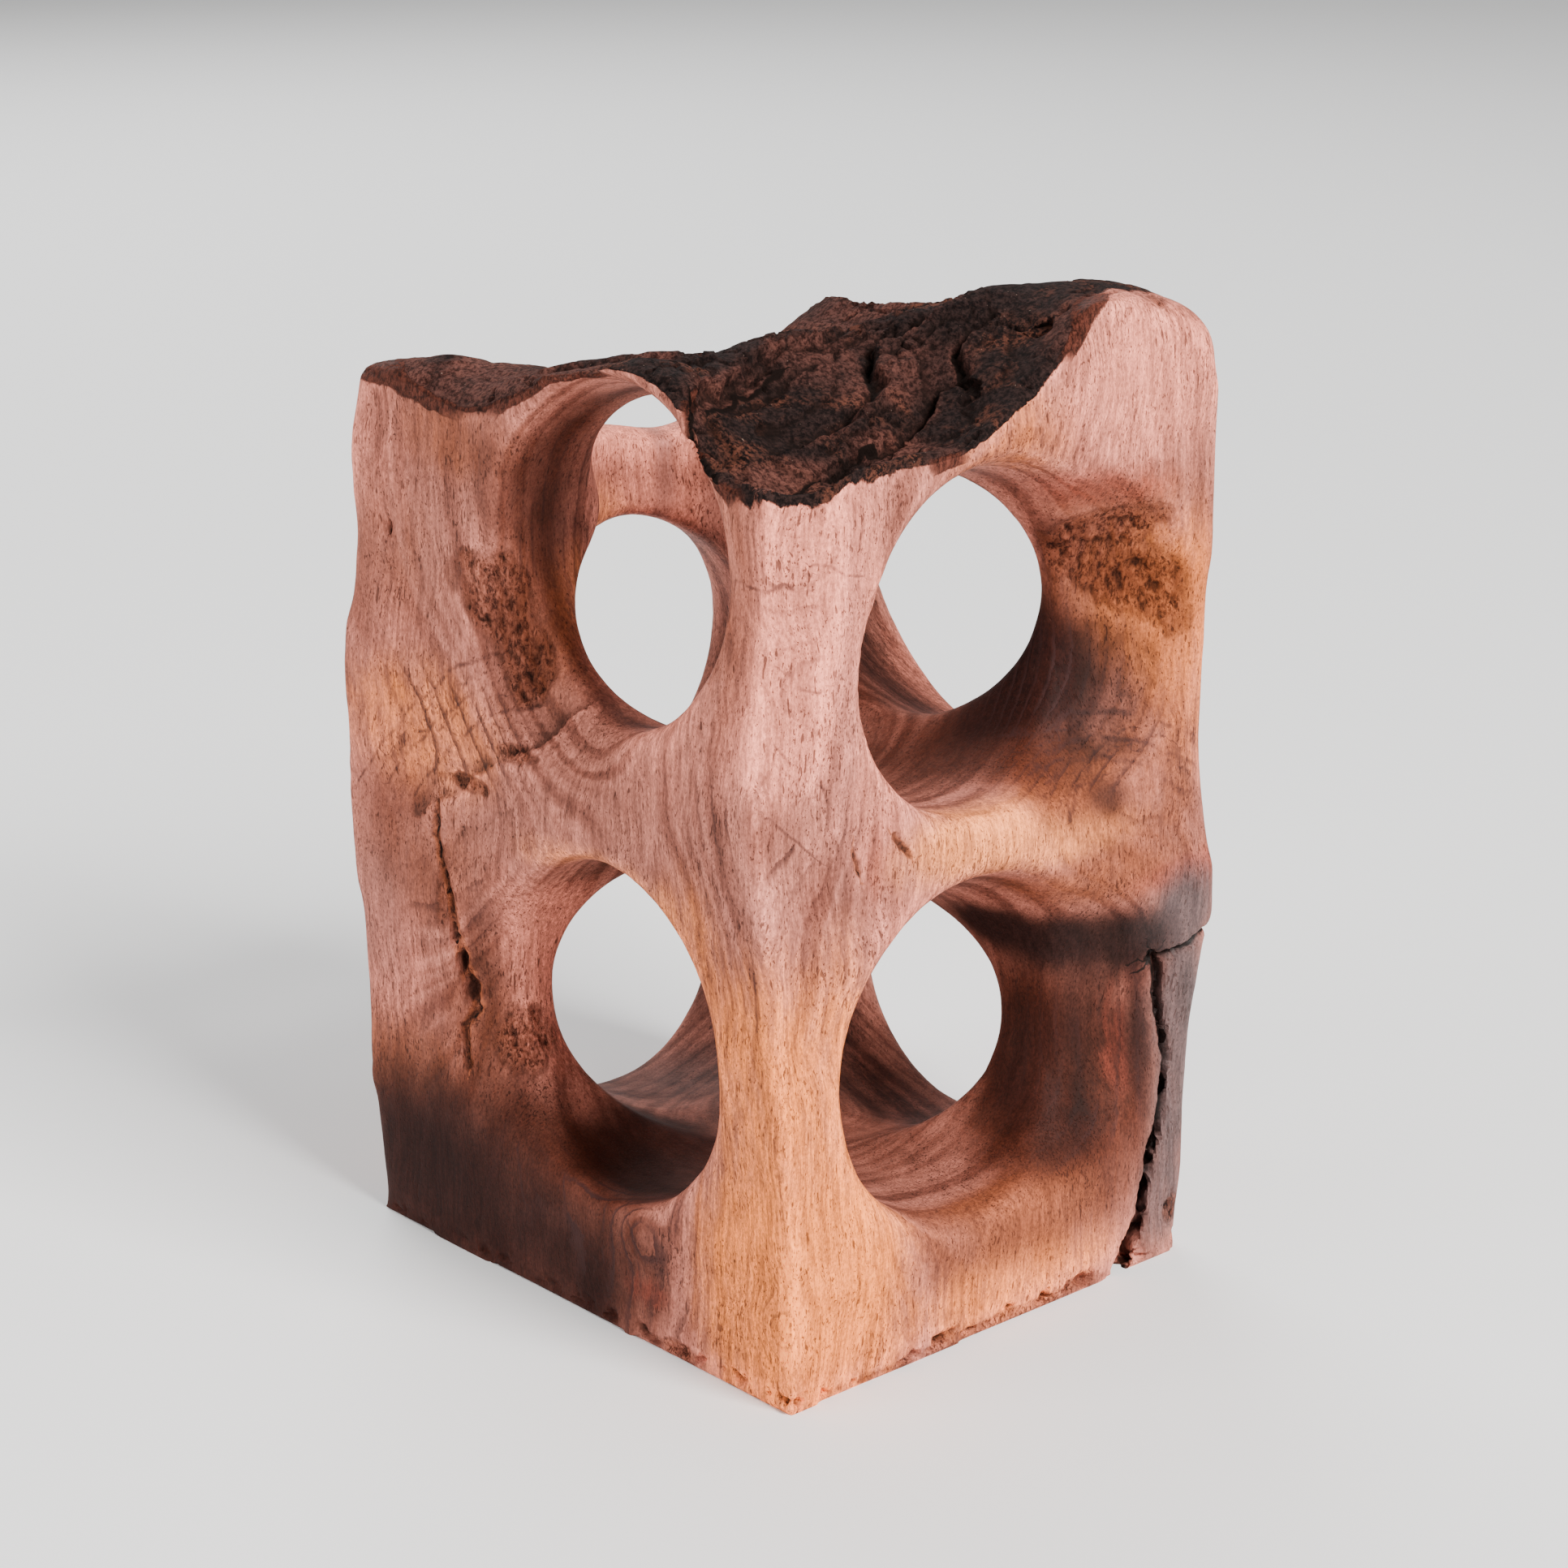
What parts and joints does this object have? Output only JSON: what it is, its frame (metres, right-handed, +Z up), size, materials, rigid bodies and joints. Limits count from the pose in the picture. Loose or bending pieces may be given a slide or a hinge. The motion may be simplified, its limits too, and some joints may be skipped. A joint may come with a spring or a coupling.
{
  "type": "driftwood stump block",
  "caption": "Upright block of reddish driftwood on a flat sawn base, with flared round holes carved right through it in both directions and a dark hollow weathered top.",
  "frame": {"origin": "middle of the flat sawn base, in the plane that it rests on", "axes": "+Z up along the block, +X out of the right face with the drying crack, -Y out of the front face"},
  "size_m": [0.0872, 0.0792, 0.1313],
  "materials": {
    "driftwood": "dry hand-smoothed driftwood, matte with a faint sheen, dark and flaky on top"
  },
  "bodies": {
    "root": {"driftwood_stump": "driftwood"}
  },
  "joints": []
}
